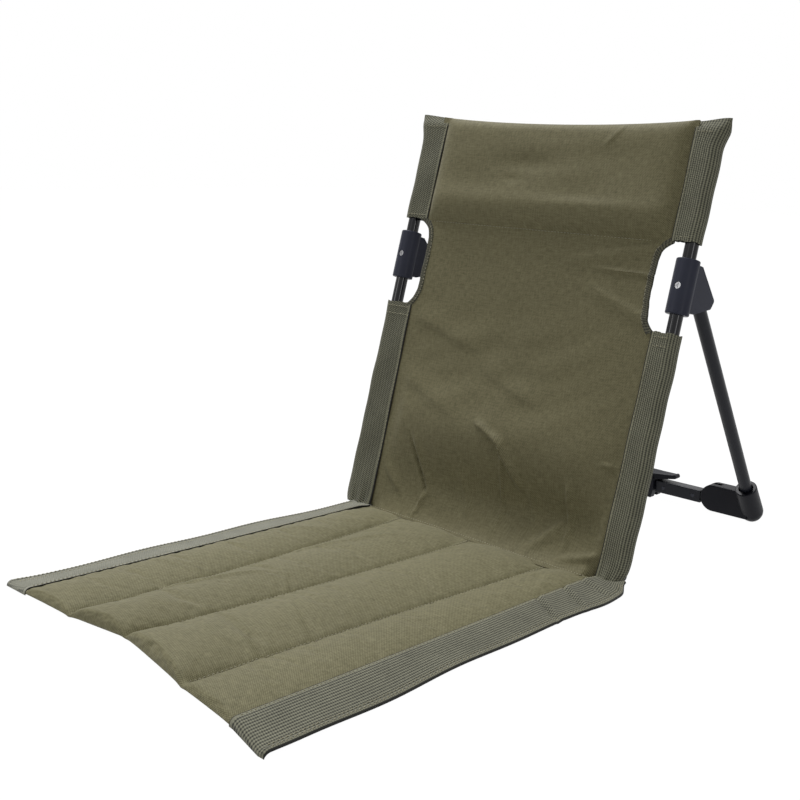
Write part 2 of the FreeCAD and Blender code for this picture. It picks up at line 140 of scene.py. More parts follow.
world = bpy.data.worlds.new("white_studio")
world.use_nodes = True
bpy.context.scene.world = world
tree = world.node_tree
tree.nodes.clear()
room = add(tree, "ShaderNodeBackground", Color=(1, 1, 1, 1), Strength=0.28)
white = add(tree, "ShaderNodeBackground", Color=(1, 1, 1, 1), Strength=1.0)
both = add(tree, "ShaderNodeMixShader", _0=seen_rays(tree), _1=room.outputs[0], _2=white.outputs[0])
add(tree, "ShaderNodeOutputWorld", Surface=both.outputs[0])


def soft_box(name, place, target, width, height, power):
    """Rectangular lamp at a place, facing a target, all in metres and watts."""
    lamp = bpy.data.lights.new(name, "AREA")
    lamp.shape = "RECTANGLE"
    lamp.size, lamp.size_y, lamp.energy = width, height, power
    box = bpy.data.objects.new(name, lamp)
    bpy.context.scene.collection.objects.link(box)
    back = np.array(place) - np.array(target)
    back = back / np.linalg.norm(back)
    side = np.cross((0.0, 0.0, 1.0), back)
    side = side / np.linalg.norm(side)
    turn = np.eye(4)
    turn[:3, 0], turn[:3, 1], turn[:3, 2], turn[:3, 3] = side, np.cross(back, side), back, place
    box.matrix_world = Matrix(turn.tolist())
    return box


soft_box("overhead_box", (-0.9, 0.3, 2.2), (0.0, -0.1, 0.1), 0.8, 0.8, 42)
soft_box("front_box", (-0.4, -2.2, 1.5), (0.0, 0.1, 0.2), 1.2, 0.9, 2)
soft_box("strip_right", (2.0, -0.6, 0.7), (0.0, 0.1, 0.25), 0.45, 0.8, 5)
soft_box("strip_left", (-1.0, -1.9, 0.7), (0.0, 0.1, 0.25), 0.45, 0.8, 7)

# ---- tubes ----
# The uprights are thin aluminium tube with a glossy black enamel; the struts and the crossbar's
# square tube are steel with a satin black powder coat, which scatters the light a little.


def dark_finish(name, hue, roughness, specular, grain, depth):
    """Opaque black finish; grain is the size of its texture in metres and depth its height."""
    material, tree = new_material(name)
    where = add(tree, "ShaderNodeTexCoord")
    fine = add(tree, "ShaderNodeTexNoise", Vector=where.outputs["Object"], Scale=1 / grain, Detail=3.0)
    broad = add(tree, "ShaderNodeTexNoise", Vector=where.outputs["Object"], Scale=28.0, Detail=4.0)
    shade = add(tree, "ShaderNodeMixRGB", {"blend_type": "MIX"}, Fac=broad.outputs["Fac"],
                Color1=shaded(hue, 0.86), Color2=shaded(hue, 1.16))
    rough = add(tree, "ShaderNodeMapRange", Value=broad.outputs["Fac"], From_Min=0.3, From_Max=0.7,
                To_Min=roughness * 0.88, To_Max=roughness * 1.14)
    bump = add(tree, "ShaderNodeBump", Height=fine.outputs["Fac"], Strength=0.6, Distance=depth)
    shader = add(tree, "ShaderNodeBsdfPrincipled", Base_Color=shade.outputs[0], Roughness=rough.outputs[0],
                 Normal=bump.outputs[0], Specular_IOR_Level=specular, IOR=1.5)
    add(tree, "ShaderNodeOutputMaterial", Surface=shader.outputs[0])
    return material


def finish_nodes(material, slot, *names):
    for name in names:
        node = node_object[name]
        node.data.materials.clear()
        node.data.materials.append(material)


SIDES = ("left", "right")
gloss_enamel = dark_finish("gloss_black_enamel", "0a0b10", 0.10, 0.28, 0.0012, 0.00001)
powder_coat = dark_finish("satin_powder_coat", "191b22", 0.34, 0.20, 0.0006, 0.00003)
finish_nodes(gloss_enamel, "upright_tube", *("upright_" + s for s in SIDES))
finish_nodes(powder_coat, "strut_tube", *("strut_" + s for s in SIDES))
finish_nodes(powder_coat, "crossbar", *("crossbar_tube_" + s for s in SIDES))

# ---- moulded parts ----
# Hinge blocks, feet, centre bracket, tongues, plugs and caps are injection-moulded nylon, black
# with a fine spark-eroded grain; the feet and the bracket scuff to a greyer tone. The hinge blocks
# are drawn a lighter blue-grey: painted light, for the light that falls on their fronts.
# The hinge blocks' blue-grey is painted light: the black nylon drawn lighter, for the light that falls on
# their fronts.
block_nylon_painted_light = dark_finish("moulded_nylon_block_painted_light", "393b46", 0.34, 0.05, 0.0007, 0.00005)
foot_nylon = dark_finish("moulded_nylon_foot", "101118", 0.42, 0.16, 0.0007, 0.00006)
bracket_nylon = dark_finish("moulded_nylon_bracket", "15161d", 0.48, 0.14, 0.0007, 0.00006)
finish_nodes(block_nylon_painted_light, "moulded_plastic", *("hinge_block_" + s for s in SIDES))
finish_nodes(foot_nylon, "moulded_plastic", *("foot_" + s for s in SIDES))
finish_nodes(bracket_nylon, "moulded_plastic", "centre_bracket",
             *(n + s for n in ("crossbar_outer_tongue_", "crossbar_inner_tongue_", "strut_plug_",
                               "upright_foot_cap_", "upright_top_cap_") for s in SIDES))

# ---- screws, rivets and pins ----
# Bright zinc-plated countersunk screws, blackened rivets in the crossbar, and plain steel hinge
# pins with turning marks.


def bare_steel(name, hue, roughness):
    material, tree = new_material(name)
    where = add(tree, "ShaderNodeTexCoord")
    marks = add(tree, "ShaderNodeTexNoise", Vector=where.outputs["Object"], Scale=1800.0, Detail=2.0)
    rough = add(tree, "ShaderNodeMapRange", Value=marks.outputs["Fac"], From_Min=0.3, From_Max=0.7,
                To_Min=roughness * 0.8, To_Max=roughness * 1.25)
    bump = add(tree, "ShaderNodeBump", Height=marks.outputs["Fac"], Strength=0.4, Distance=0.00002)
    shader = add(tree, "ShaderNodeBsdfPrincipled", Base_Color=linear(hue), Metallic=1.0,
                 Roughness=rough.outputs[0], Normal=bump.outputs[0])
    add(tree, "ShaderNodeOutputMaterial", Surface=shader.outputs[0])
    return material


zinc_plate = bare_steel("bright_zinc_plate", "9a9a9c", 0.38)
pin_steel = bare_steel("turned_pin_steel", "6a6a6c", 0.35)
black_rivet = bare_steel("blackened_rivet_steel", "34353a", 0.34)
finish_nodes(zinc_plate, "screw", *("block_screw_" + s for s in SIDES))
finish_nodes(black_rivet, "screw", *("crossbar_rivets_" + s for s in SIDES))
finish_nodes(pin_steel, "pin_steel", *(n + s for n in ("strut_pin_", "foot_pin_", "bracket_pin_")
                                       for s in SIDES))

# ---- woven webbing ----
# Grey-green polypropylene webbing with lengthwise ribs crossed by slanted rows of weft, which give
# it a dotted look; its selvedge is plain. It binds the seat's sides and makes the sleeves. Along its
# edges runs a near-black band of painted shade, where the webbing's side turns away from the light.
RIB_PITCH = 0.0029
ROW_PITCH = 0.0021
RIB_HEIGHT = 0.00012


def webbing_cloth(name, crest, valley, rib_share, slant, selvedge, edges):
    """Webbing whose UV map is in metres: U across from the inner edge, V along it. Ribs run along
    it, slanted rows of weft cross them, and the two bands of painted shade along its edges, where
    the webbing's sides turn away from the light, are given as distances across."""
    material, tree = new_material(name)
    place = add(tree, "ShaderNodeUVMap", {"uv_map": "cloth"})
    axes = add(tree, "ShaderNodeSeparateXYZ", Vector=place.outputs[0])
    across, along = axes.outputs[0], axes.outputs[1]
    where = add(tree, "ShaderNodeTexCoord")
    speckle = add(tree, "ShaderNodeTexNoise", Vector=where.outputs["Object"], Scale=620.0, Detail=2.0)
    broad = add(tree, "ShaderNodeTexNoise", Vector=where.outputs["Object"], Scale=34.0, Detail=3.0)

    def times(left, right, operation="MULTIPLY", third=0.0):
        return add(tree, "ShaderNodeMath", {"operation": operation}, _0=left, _1=right, _2=third).outputs[0]

    def between(value, low, high, kind="SMOOTHSTEP"):
        return add(tree, "ShaderNodeMapRange", {"interpolation_type": kind}, Value=value, From_Min=low,
                   From_Max=high).outputs[0]

    def wave(axis, pitch):
        turns = times(axis, 2 * math.pi / pitch)
        return between(times(turns, 0.0, "COSINE"), -1.0, 1.0, "LINEAR")

    strayed = times(broad.outputs["Fac"], 0.0016, "MULTIPLY_ADD", along)
    rib = wave(across, RIB_PITCH)
    row = wave(times(across, slant, "MULTIPLY_ADD", strayed), ROW_PITCH)
    weave = times(row, 1 - rib_share, "MULTIPLY_ADD", times(rib, rib_share))
    plain = between(across, selvedge, selvedge + 0.0008)
    weave = times(times(weave, 0.78, "SUBTRACT"), plain, "MULTIPLY_ADD", 0.78)
    height = times(speckle.outputs["Fac"], 0.55, "MULTIPLY_ADD", weave)
    tone = between(height, 0.40, 1.15, "LINEAR")
    woven = add(tree, "ShaderNodeMixRGB", Fac=tone, Color1=linear(valley), Color2=linear(crest))
    inner, outer = edges
    # Painted shade: a near-black band at each given edge, where the webbing's side turns away from the
    # light.
    edge_shade = times(between(across, inner, inner + 0.0003), between(across, outer, outer - 0.0003))
    base_mix = add(tree, "ShaderNodeMixRGB", Fac=edge_shade, Color1=linear("1b1b17"), Color2=woven.outputs[0])
    worn = add(tree, "ShaderNodeMapRange", Value=broad.outputs["Fac"], From_Min=0.3, From_Max=0.7,
               To_Min=0.90, To_Max=1.10)
    colour = add(tree, "ShaderNodeVectorMath", {"operation": "SCALE"}, _0=base_mix.outputs[0],
                 Scale=worn.outputs[0])
    bump = add(tree, "ShaderNodeBump", Height=height, Strength=0.7, Distance=0.00022)
    shader = add(tree, "ShaderNodeBsdfPrincipled", Base_Color=colour.outputs[0], Roughness=0.78,
                 Normal=bump.outputs[0], Specular_IOR_Level=0.25, Sheen_Weight=0.12, Sheen_Roughness=0.5)
    add(tree, "ShaderNodeOutputMaterial", Surface=shader.outputs[0])
    return material


SEAT_WEBBING_WIDTH = {1: 0.0455, -1: 0.0345}
# Each sleeve has a band of painted shade at its inner edge; the seat webbing has one at both edges.
sleeve_webbing = {
    1: webbing_cloth("ribbed_webbing_sleeve_left", "84836f", "303129", 0.66, 0.15, 0.0030, (0.0009, 1.0)),
    -1: webbing_cloth("ribbed_webbing_sleeve_right", "767561", "24251d", 0.20, -0.55, 0.0026, (0.0009, 1.0)),
}
seat_webbing = {
    1: webbing_cloth("ribbed_webbing_seat_left", "888774", "24251d", 0.62, 0.10, 0.0022,
                     (0.0004, SEAT_WEBBING_WIDTH[1] - 0.0009)),
    # The far side's seat webbing is drawn lighter and flatter than the near one: painted light, for the key
    # light that falls on that side.
    -1: webbing_cloth("ribbed_webbing_seat_right_painted_light", "a2a191", "5e5f57", 0.55, 0.10, 0.0022,
                      (0.0009, SEAT_WEBBING_WIDTH[-1] - 0.0008)),
}


def show(name, mesh, material):
    """Puts a finished mesh into the scene as a piece at the origin."""
    piece = bpy.data.objects.new(name, mesh)
    bpy.context.scene.collection.objects.link(piece)
    mesh.materials.append(material)
    mesh.set_sharp_from_angle(angle=math.radians(55))
    return piece


def shell(name, front, rear, cloth):
    """Closed sheet between two grids of points, joined by a rim round their edges."""
    rows, cols = front.shape[:2]
    count = rows * cols
    index = np.arange(count).reshape(rows, cols)
    quad = np.stack([index[:-1, :-1], index[:-1, 1:], index[1:, 1:], index[1:, :-1]], -1).reshape(-1, 4)
    rim = np.concatenate([index[0, :], index[1:, -1], index[-1, -2::-1], index[-2:0:-1, 0]])
    ahead = np.roll(rim, -1)
    sides = np.stack([rim, rim + count, ahead + count, ahead], -1)
    faces = np.concatenate([quad, quad[:, ::-1] + count, sides])
    mesh = bpy.data.meshes.new(name)
    mesh.vertices.add(2 * count)
    points = np.concatenate([front.reshape(-1, 3), rear.reshape(-1, 3)])
    mesh.vertices.foreach_set("co", points.astype(np.float32).ravel())
    mesh.loops.add(faces.size)
    mesh.loops.foreach_set("vertex_index", faces.ravel().astype(np.int32))
    mesh.polygons.add(len(faces))
    mesh.polygons.foreach_set("loop_start", np.arange(0, faces.size, 4, dtype=np.int32))
    mesh.update(calc_edges=True)
    flat = np.concatenate([cloth.reshape(-1, 2)] * 2)
    mesh.uv_layers.new(name="cloth").data.foreach_set("uv", flat[faces.ravel()].astype(np.float32).ravel())
    mesh.polygons.foreach_set("use_smooth", np.ones(len(faces), bool))
    mesh.validate()
    return mesh


def grid_normal(grid):
    """Unit normals of a grid of points, from the cross product of its two directions."""
    across = np.gradient(grid, axis=1)
    along = np.gradient(grid, axis=0)
    normal = np.cross(across, along)
    return normal / np.linalg.norm(normal, axis=-1, keepdims=True)


def smooth(low, high, value):
    """0 below low, 1 above high, and an S curve between them."""
    share = np.clip((value - low) / (high - low), 0, 1)
    return share * share * (3 - 2 * share)


def hump(value, centre, width):
    """Bell curve of height 1."""
    return np.exp(-((value - centre) / width) ** 2)


# ---- sleeves on the uprights ----
# Webbing folded round each tube and stitched to both faces of the back fabric: flat in front,
# with the tube in its loop. The upper pair is sewn shut over the tube's end.
RECLINE = math.radians(15.7)
AHEAD_OF_BACK = np.array([0, -math.cos(RECLINE), math.sin(RECLINE)])
tube_low, tube_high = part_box("upright_left")
TUBE_RADIUS = (tube_high.x - tube_low.x) / 2
TUBE_X = (tube_high.x + tube_low.x) / 2
tube_start = (tube_low.z + TUBE_RADIUS * math.sin(RECLINE)) / math.cos(RECLINE)
BACK_Y = tube_low.y - tube_start * math.sin(RECLINE) + TUBE_RADIUS * math.cos(RECLINE)
SLEEVE_INNER = TUBE_X - 0.023
LOOP_RADIUS = 0.0094
FRONT_LAYER = -0.0095
SLEEVE_HEIGHTS = (0.0, 0.245, 0.343, 0.4665)
SLEEVE_EDGES = {1: (0.1655, 0.1675, 0.1670, 0.1665), -1: (0.1485, 0.1530, 0.1565, 0.1555)}
REAR_LAYER = -0.0071
SLEEVE_WALL = 0.0013
BACK_TOP = 0.4665
SEAM_HEIGHT = 0.343


def on_back(x, depth, height):
    """Points in the backrest's own frame: height up the tube, depth to the rear of it."""
    x, depth, height = np.broadcast_arrays(x, depth, height)
    return np.stack([x, BACK_Y + height * math.sin(RECLINE) + depth * math.cos(RECLINE),
                     height * math.cos(RECLINE) - depth * math.sin(RECLINE)], -1)


def sleeve_edge(x, height):
    """Distance from the middle of the back to the sleeve's front inner edge, on the side of x."""
    left, right = (np.interp(height, SLEEVE_HEIGHTS, SLEEVE_EDGES[side]) for side in (1, -1))
    return np.where(np.asarray(x) > 0, left, right)


def sleeve_section():
    """Outline of the folded webbing from its front inner edge round the tube and back."""
    front_run = np.linspace(SLEEVE_INNER, TUBE_X, 60, endpoint=False)
    ease = smooth(SLEEVE_INNER + 0.006, TUBE_X, front_run)
    front = np.stack([front_run, FRONT_LAYER + ease * (-LOOP_RADIUS - FRONT_LAYER)], -1)
    angle = np.radians(np.linspace(-90, 134, 110))
    loop = np.stack([TUBE_X + LOOP_RADIUS * np.cos(angle), LOOP_RADIUS * np.sin(angle)], -1)
    share = np.linspace(0, 1, 45)[1:, None]
    rear = loop[-1] + share * (np.array([SLEEVE_INNER + 0.001, REAR_LAYER]) - loop[-1])
    return np.concatenate([front, loop, rear])


section = sleeve_section()
section_run = np.concatenate([[0], np.cumsum(np.linalg.norm(np.diff(section, axis=0), axis=1))])
edge_steps = np.gradient(section, axis=0)
outward = np.stack([edge_steps[:, 1], -edge_steps[:, 0]], -1)
outward /= np.linalg.norm(outward, axis=-1, keepdims=True)


def sleeve(name, side, low, high, closed_top, node, body, seed):
    """Sleeve from low to high; waves and a frayed end come from sines of the seed."""
    height = np.linspace(0, 1, int((high - low) / 0.0028))[:, None]
    ribbed = smooth(0.004, 0.006, section_run) * (1 - smooth(0.066, 0.068, section_run))
    rib = RIB_HEIGHT * ribbed * np.cos(2 * math.pi * section_run / RIB_PITCH)
    outer = section + outward * (rib[:, None] + SLEEVE_WALL / 2)
    inner = section - outward * SLEEVE_WALL / 2
    ragged = 0.0005 * np.sin(section_run * 330 + seed) + 0.0002 * np.sin(section_run * 1130 + 2 * seed)
    grids = []
    for outline in (outer, inner):
        x, depth = outline[:, 0][None, :], outline[:, 1][None, :]
        t = low + ragged * (1 - height) + height * (high - low) - ragged * height * (0 if closed_top else 1)
        sway = 0.0004 * np.sin(t * 55 + seed) + 0.0003 * np.sin(t * 131 + 2.3 * seed)
        share = smooth(SLEEVE_INNER, TUBE_X + LOOP_RADIUS, x)
        reach = (TUBE_X - sleeve_edge(side, t)) / (TUBE_X - SLEEVE_INNER)
        x = np.where(x < TUBE_X, TUBE_X + (x - TUBE_X) * reach, x)
        x = x + sway * share
        depth = depth + 0.0005 * np.sin(t * 75 + 1.7 * seed + x * 90) * (1 - 0.5 * share)
        if closed_top:
            shut = smooth(high - 0.0105, high, t)
            depth = -0.0045 + (depth + 0.0045) * (1 - 0.86 * shut)
            x = x + 0.006 * smooth(high - 0.030, high, t) * share
            t = t + 0.0028 * shut * share - 0.001 * shut * (1 - share)
        else:
            gathered = np.exp(-(t - low) / 0.011)
            t = t + gathered * (depth * math.tan(RECLINE) - 0.0014)
            pleat = 0.0012 * np.sin(x * 420 + seed)
            depth = depth - gathered * (0.0030 + pleat * (depth < 0))
            x = x - 0.0040 * share * np.exp(-(t - low) / 0.009)
        grids.append(on_back(side * x, depth, t))
    flat = np.stack(np.broadcast_arrays(section_run[None, :], low + height * (high - low)), -1)
    if side < 0:
        grids = [g[:, ::-1] for g in grids]
        flat = flat[:, ::-1]
    piece = show(name, shell(name, grids[0], grids[1], flat), sleeve_webbing[side])
    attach(piece, body)
    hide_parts(node)
    return piece


LOWER_TOP = {"left": 0.252, "right": 0.2425}
for side, word in ((1, "left"), (-1, "right")):
    body = word + "_frame"
    low_sleeve = sleeve("sleeve_lower_" + word, side, 0.0032, LOWER_TOP[word], False,
                        "lower_sleeve_" + word, body, 1.3 + side)
    high_sleeve = sleeve("sleeve_upper_" + word, side, SEAM_HEIGHT + 0.001, BACK_TOP, True,
                         "upper_sleeve_" + word, body, 3.1 + side)

# ---- back fabric ----
# One panel of olive polyester oxford cloth hung between the sleeves, cut back at both sides beside
# the hinge blocks. It hangs slack: it bellies forward low down and hollows above the seat.


def oxford_cloth(name, light, dark, seed):
    """Plain basket weave of doubled yarns, drawn at 1.9 mm, three times its real pitch, so it shows."""
    material, tree = new_material(name)
    place = add(tree, "ShaderNodeUVMap", {"uv_map": "cloth"})
    axes = add(tree, "ShaderNodeSeparateXYZ", Vector=place.outputs[0])
    where = add(tree, "ShaderNodeTexCoord")
    slub_place = add(tree, "ShaderNodeMapping", Vector=place.outputs[0], Scale=(640.0, 120.0, 1.0))
    slub = add(tree, "ShaderNodeTexNoise", Vector=slub_place.outputs[0], Scale=1.0, Detail=2.0)
    weft_place = add(tree, "ShaderNodeMapping", Vector=place.outputs[0], Scale=(110.0, 600.0, 1.0),
                     Location=(seed, seed, 0.0))
    weft = add(tree, "ShaderNodeTexNoise", Vector=weft_place.outputs[0], Scale=1.0, Detail=2.0)
    broad = add(tree, "ShaderNodeTexNoise", Vector=where.outputs["Object"], Scale=9.0, Detail=4.0)
    waves = []
    for axis in (0, 1):
        turns = add(tree, "ShaderNodeMath", {"operation": "MULTIPLY"}, _0=axes.outputs[axis],
                    _1=2 * math.pi / 0.0019)
        waves.append(add(tree, "ShaderNodeMath", {"operation": "SINE"}, _0=turns.outputs[0]))
    weave = add(tree, "ShaderNodeMath", {"operation": "MULTIPLY"}, _0=waves[0].outputs[0],
                _1=waves[1].outputs[0])
    yarn = add(tree, "ShaderNodeMath", {"operation": "ADD"}, _0=slub.outputs["Fac"], _1=weft.outputs["Fac"])
    height = add(tree, "ShaderNodeMath", {"operation": "MULTIPLY_ADD"}, _0=weave.outputs[0], _1=0.60,
                 _2=yarn.outputs[0])
    tone = add(tree, "ShaderNodeMapRange", Value=height.outputs[0], From_Min=0.3, From_Max=1.7)
    base_mix = add(tree, "ShaderNodeMixRGB", Fac=tone.outputs[0], Color1=linear(dark), Color2=linear(light))
    fade = add(tree, "ShaderNodeMapRange", Value=broad.outputs["Fac"], From_Min=0.3, From_Max=0.7,
               To_Min=0.96, To_Max=1.04)
    colour = add(tree, "ShaderNodeVectorMath", {"operation": "SCALE"}, _0=base_mix.outputs[0],
                 Scale=fade.outputs[0])
    bump = add(tree, "ShaderNodeBump", Height=height.outputs[0], Strength=0.45, Distance=0.00012)
    shader = add(tree, "ShaderNodeBsdfPrincipled", Base_Color=colour.outputs[0], Roughness=0.72,
                 Normal=bump.outputs[0], Specular_IOR_Level=0.25, Sheen_Weight=0.10, Sheen_Roughness=0.45)
    add(tree, "ShaderNodeOutputMaterial", Surface=shader.outputs[0])
    return material


back_cloth = oxford_cloth("olive_oxford_back", "7f795b", "444128", 3.0)
CLOTH_WALL = 0.0009
PANEL_DEPTH = -0.0083
HIDDEN_EDGE = SLEEVE_INNER + 0.008
CUT_EDGE = {1: 0.1558, -1: 0.1487}
CUT_LOW = {1: 0.252, -1: 0.2425}
FOLD_DEPTH = 1.45
CLEAR_OF_GROUND = 0.0007
TUCK_START = {1: -0.012, -1: -0.026}
TUCK_END = -0.001
mm = 0.001
# How deep the belly and the hollow under it are, how far up the back, and how wide.
BELLY = (0.0100, 0.112, 0.040)
HOLLOW = (0.0100, 0.042, 0.027)

# When the crossbar folds, the far side comes across and the cloth between gathers to the near one.
# These settings describe that gathering; nothing in this script applies them.
SQUASH = {"joint": "bar_fold", "axis": (1, 0, 0), "anchor": (0.1720, 0, 0), "keep": 0.375}
SEAT_SQUASH = dict(SQUASH, anchor=(0.1617, 0, 0))


def open_edge(side, height):
    """How far out the fabric reaches beside a hinge block, flaring at both ends of the cut-out."""
    down = SEAM_HEIGHT - height
    rise = height - CUT_LOW[side]
    flare = 0.020 * np.exp(-np.clip(down, 0, 1) / 0.0062) + 0.012 * np.exp(-np.clip(rise, 0, 1) / 0.0085)
    edge = CUT_EDGE[side] + flare + 0.0004 * np.sin(height * 140 + side)
    return np.minimum(edge, HIDDEN_EDGE)


def fold(x, height, start, end, width, rise):
    """Straight fold in the cloth from start to end, dying out at both ends, sharper on one side."""
    run = np.array(end) - np.array(start)
    length = np.linalg.norm(run)
    along = ((x - start[0]) * run[0] + (height - start[1]) * run[1]) / length
    across = ((x - start[0]) * -run[1] + (height - start[1]) * run[0]) / length
    ends = smooth(-0.35 * length, 0.15 * length, along) * (1 - smooth(0.75 * length, 1.3 * length, along))
    skew = np.where(across > 0, width, 0.45 * width)
    return rise * ends * np.exp(-(across / skew) ** 2)


def back_depth(x, height):
    """Depth of the hanging panel behind or ahead of its flat plane, negative to the front."""
    middle = np.clip(1 - (x / 0.162) ** 2, 0, 1)
    low_middle = middle ** 0.6 * (1 + 0.9 * x / 0.16)
    depth = 0.0030 * middle * smooth(0.12, 0.25, height) * (1 - smooth(0.30, 0.34, height))
    depth = depth - BELLY[0] * middle ** 0.7 * hump(height, *BELLY[1:])
    depth = depth + HOLLOW[0] * low_middle * hump(height, *HOLLOW[1:])
    curled = 0.0075 + 0.0080 * smooth(-0.10, 0.15, x)
    depth = depth - curled * np.exp(-height / 0.010)
    # Each fold: across and height at its start and its end, its width and its rise, in millimetres.
    for x0, t0, x1, t1, width, rise in (
            (-12, 122, 18, 108, 4.5, -3.4), (18, 108, 48, 70, 5, -4.4), (24, 100, 28, 22, 3, -1.7),
            (-104, 84, -76, 32, 2.6, 2.0), (-98, 85, -71, 34, 5, -1.8), (-77, 32, -81, 6, 4, -2.4),
            (112, 76, 119, 18, 5, -2.8),
            (104, 38, 78, 8, 10, -3.6), (165, 22, 122, 8, 6, -3.4), (165, 112, 146, 111, 3, -1.4),
            (150, 307, 92, 309, 3, -1.8), (158, 338, 60, 316, 10, -1.6), (158, 262, 85, 288, 10, -1.8),
            (-146, 232, -50, 205, 14, -1.6), (-15, 178, 50, 156, 14, -1.4), (-150, 165, -60, 130, 16, -1.6),
            (-150, 60, -115, 28, 6, -1.8), (-30, 60, -12, 22, 6, -1.4), (62, 66, 74, 30, 6, -1.5)):
        rise = FOLD_DEPTH * rise * mm
        depth = depth + fold(x, height, (x0 * mm, t0 * mm), (x1 * mm, t1 * mm), width * mm, rise)
    ripple = 0.0007 * np.sin(x * 61 + 9 * np.sin(height * 17)) * np.sin(height * 43 + 2 * np.sin(x * 23))
    return depth + ripple * middle


def lowered(x):
    """How far the panel's bottom edge drops to meet the seat's rear edge, more on the near side."""
    return 0.0010 + 0.0022 * smooth(-0.10, 0.15, x)


rows, cols = 190, 150
height = np.linspace(0.0, SEAM_HEIGHT + 0.003, rows)[:, None]
left_edge, right_edge = -open_edge(-1, height), open_edge(1, height)
in_cut = {s: (height > CUT_LOW[s]) for s in (1, -1)}
right_edge = np.where(in_cut[1], right_edge, HIDDEN_EDGE)
left_edge = np.where(in_cut[-1], left_edge, -HIDDEN_EDGE)
x = left_edge + (right_edge - left_edge) * np.linspace(0, 1, cols)[None, :]
height = height - lowered(x) * np.exp(-height / 0.004)
tuck_start = np.where(x > 0, TUCK_START[1], TUCK_START[-1])
tucked = smooth(tuck_start, TUCK_END, np.abs(x) - sleeve_edge(x, height))
depth = PANEL_DEPTH + back_depth(x, height) * (1 - tucked)
middle_sheet = on_back(x, depth, height)
middle_sheet[..., 2] = np.maximum(middle_sheet[..., 2], CLEAR_OF_GROUND)
lift = grid_normal(middle_sheet) * CLOTH_WALL / 2
flat = np.stack([x, height], -1)
back_panel = show("back_fabric", shell("back_fabric", middle_sheet + lift, middle_sheet - lift, flat),
                  back_cloth)
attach(back_panel, "left_frame")
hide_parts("back_panel")
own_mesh(back_panel)

# ---- tape on the cut-outs ----
# Narrow webbing tape folded over the raw edge of each cut-out and stitched through both halves. It
# follows the edge as it flares out under the sleeves above and below the hinge block.
TAPE_WIDTH = 0.0076
TAPE_HALF_THICK = 0.0013
tape_webbing = webbing_cloth("binding_tape", "5f5d4c", "2b2b24", 0.30, 0.3, 0.0, (-1.0, 1.0))


def edge_tape(name, side, node):
    """Flattened tube along the open edge, with its section a squared-off oval."""
    low, high = CUT_LOW[side] - 0.003, SEAM_HEIGHT + 0.0015
    run = np.linspace(low, high, 96)[:, None]
    edge = open_edge(side, run) + 0.0006
    slope = np.gradient(edge[:, 0], run[:, 0])[:, None]
    bend = 1 / np.sqrt(1 + slope ** 2)
    share = np.linspace(-1, 1, 15)[None, :]
    wobble = 0.0003 * np.sin(run * 190 + side) + 0.00012 * np.sin(run * 620)
    centre_x = edge - TAPE_WIDTH / 2 * bend
    centre_t = run + TAPE_WIDTH / 2 * bend * slope
    x = centre_x + share * TAPE_WIDTH / 2 * bend + wobble
    t = centre_t - share * TAPE_WIDTH / 2 * bend * slope
    t = np.minimum(t, SEAM_HEIGHT + 0.004)
    thick = TAPE_HALF_THICK * (1 - np.abs(share) ** 3.2) ** 0.5 + 0.00015
    inward = smooth(TUCK_START[1], TUCK_END, edge - sleeve_edge(side, run))
    base = PANEL_DEPTH + back_depth(np.clip(x, 0, 0.16) * side, t) * (1 - inward)
    flat = np.stack(np.broadcast_arrays(0.004 + share * TAPE_WIDTH / 2, run), -1)
    front = on_back(side * x, base - thick, t)
    rear = on_back(side * x, base + thick, t)
    if side < 0:
        front, rear, flat = front[:, ::-1], rear[:, ::-1], flat[:, ::-1]
    piece = show(name, shell(name, front, rear, flat), tape_webbing)
    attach(piece, "left_frame")
    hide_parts(node)
    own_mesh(piece)
    return piece


edge_tape("cutout_tape_left", 1, "cutout_binding_left")
edge_tape("cutout_tape_right", -1, "cutout_binding_right")

# ---- stitches ----
# Polyester thread in a running stitch that sinks into the cloth at both ends. The real thread is
# 0.5 mm thick; most rows are drawn thicker, so that they show.
STITCH_PITCH = 0.0042
STITCH_LENGTH = 0.0031


def thread_material(name, hue):
    material, tree = new_material(name)
    where = add(tree, "ShaderNodeTexCoord")
    twist = add(tree, "ShaderNodeTexWave", {"bands_direction": "DIAGONAL"}, Vector=where.outputs["Object"],
                Scale=900.0, Distortion=1.0)
    base_mix = add(tree, "ShaderNodeMixRGB", Fac=twist.outputs["Fac"], Color1=shaded(hue, 0.75),
              Color2=linear(hue))
    shader = add(tree, "ShaderNodeBsdfPrincipled", Base_Color=base_mix.outputs[0], Roughness=0.6,
                 Specular_IOR_Level=0.3, Sheen_Weight=0.2)
    add(tree, "ShaderNodeOutputMaterial", Surface=shader.outputs[0])
    return material


olive_thread = thread_material("olive_thread", "a19c82")


